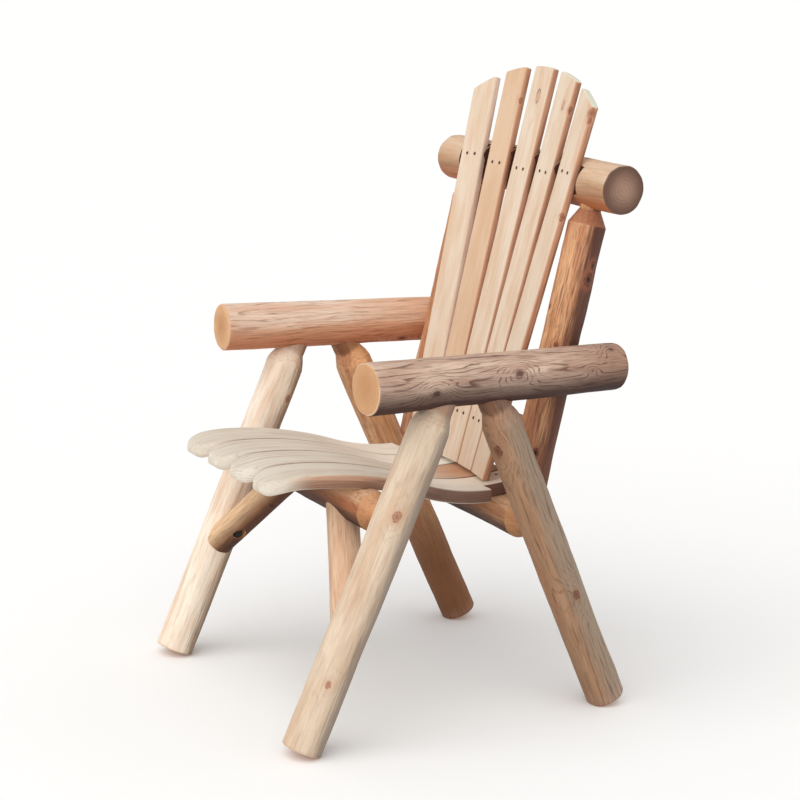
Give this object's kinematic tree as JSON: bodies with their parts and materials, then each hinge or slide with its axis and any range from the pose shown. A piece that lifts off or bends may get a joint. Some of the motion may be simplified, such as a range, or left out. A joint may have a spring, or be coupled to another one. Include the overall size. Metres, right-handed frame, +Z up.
{
  "type": "dining armchair",
  "caption": "Rustic armchair of peeled logs with splayed legs, round armrests, a fan back of dished slats and a contoured board seat.",
  "frame": {"origin": "on the floor, at the centre of the chair's footprint", "axes": "+Z up, +X to the sitter's left, -Y the way the sitter faces"},
  "size_m": [0.6604, 0.6804, 1.1216],
  "materials": {
    "leg_log": "peeled pale log with draw-knife facets, matt oil",
    "arm_log": "peeled log, greyed on top, matt oil",
    "rail_log": "peeled amber log, matt oil",
    "post_log": "peeled red-brown log, matt oil",
    "slat_wood": "planed board with eased edges, matt oil",
    "seat_wood": "sawn and sanded board with eased edges, matt oil",
    "nail_steel": "dull steel",
    "zinc_steel": "zinc-plated"
  },
  "bodies": {
    "root": {"front_leg_left": "leg_log", "front_leg_right": "leg_log", "rear_leg_left": "leg_log", "rear_leg_right": "leg_log", "armrest_left": "arm_log", "armrest_right": "arm_log", "front_seat_rail": "rail_log", "rear_seat_rail": "rail_log", "knee_brace_left": "rail_log", "knee_brace_right": "rail_log", "back_post_left": "post_log", "back_post_right": "post_log", "top_rail": "rail_log", "lower_back_rail": "post_log", "back_slat_1": "slat_wood", "back_slat_2": "slat_wood", "back_slat_3": "slat_wood", "back_slat_4": "slat_wood", "back_slat_5": "slat_wood", "seat_board_1": "seat_wood", "seat_board_2": "seat_wood", "seat_board_3": "seat_wood", "seat_board_4": "seat_wood", "upper_slat_nails": "nail_steel", "lower_slat_nails": "nail_steel", "front_seat_nails": "nail_steel", "rear_seat_nails": "nail_steel", "brace_lag_screws": "zinc_steel", "post_lag_screws": "zinc_steel", "lag_washers": "zinc_steel"}
  },
  "joints": []
}
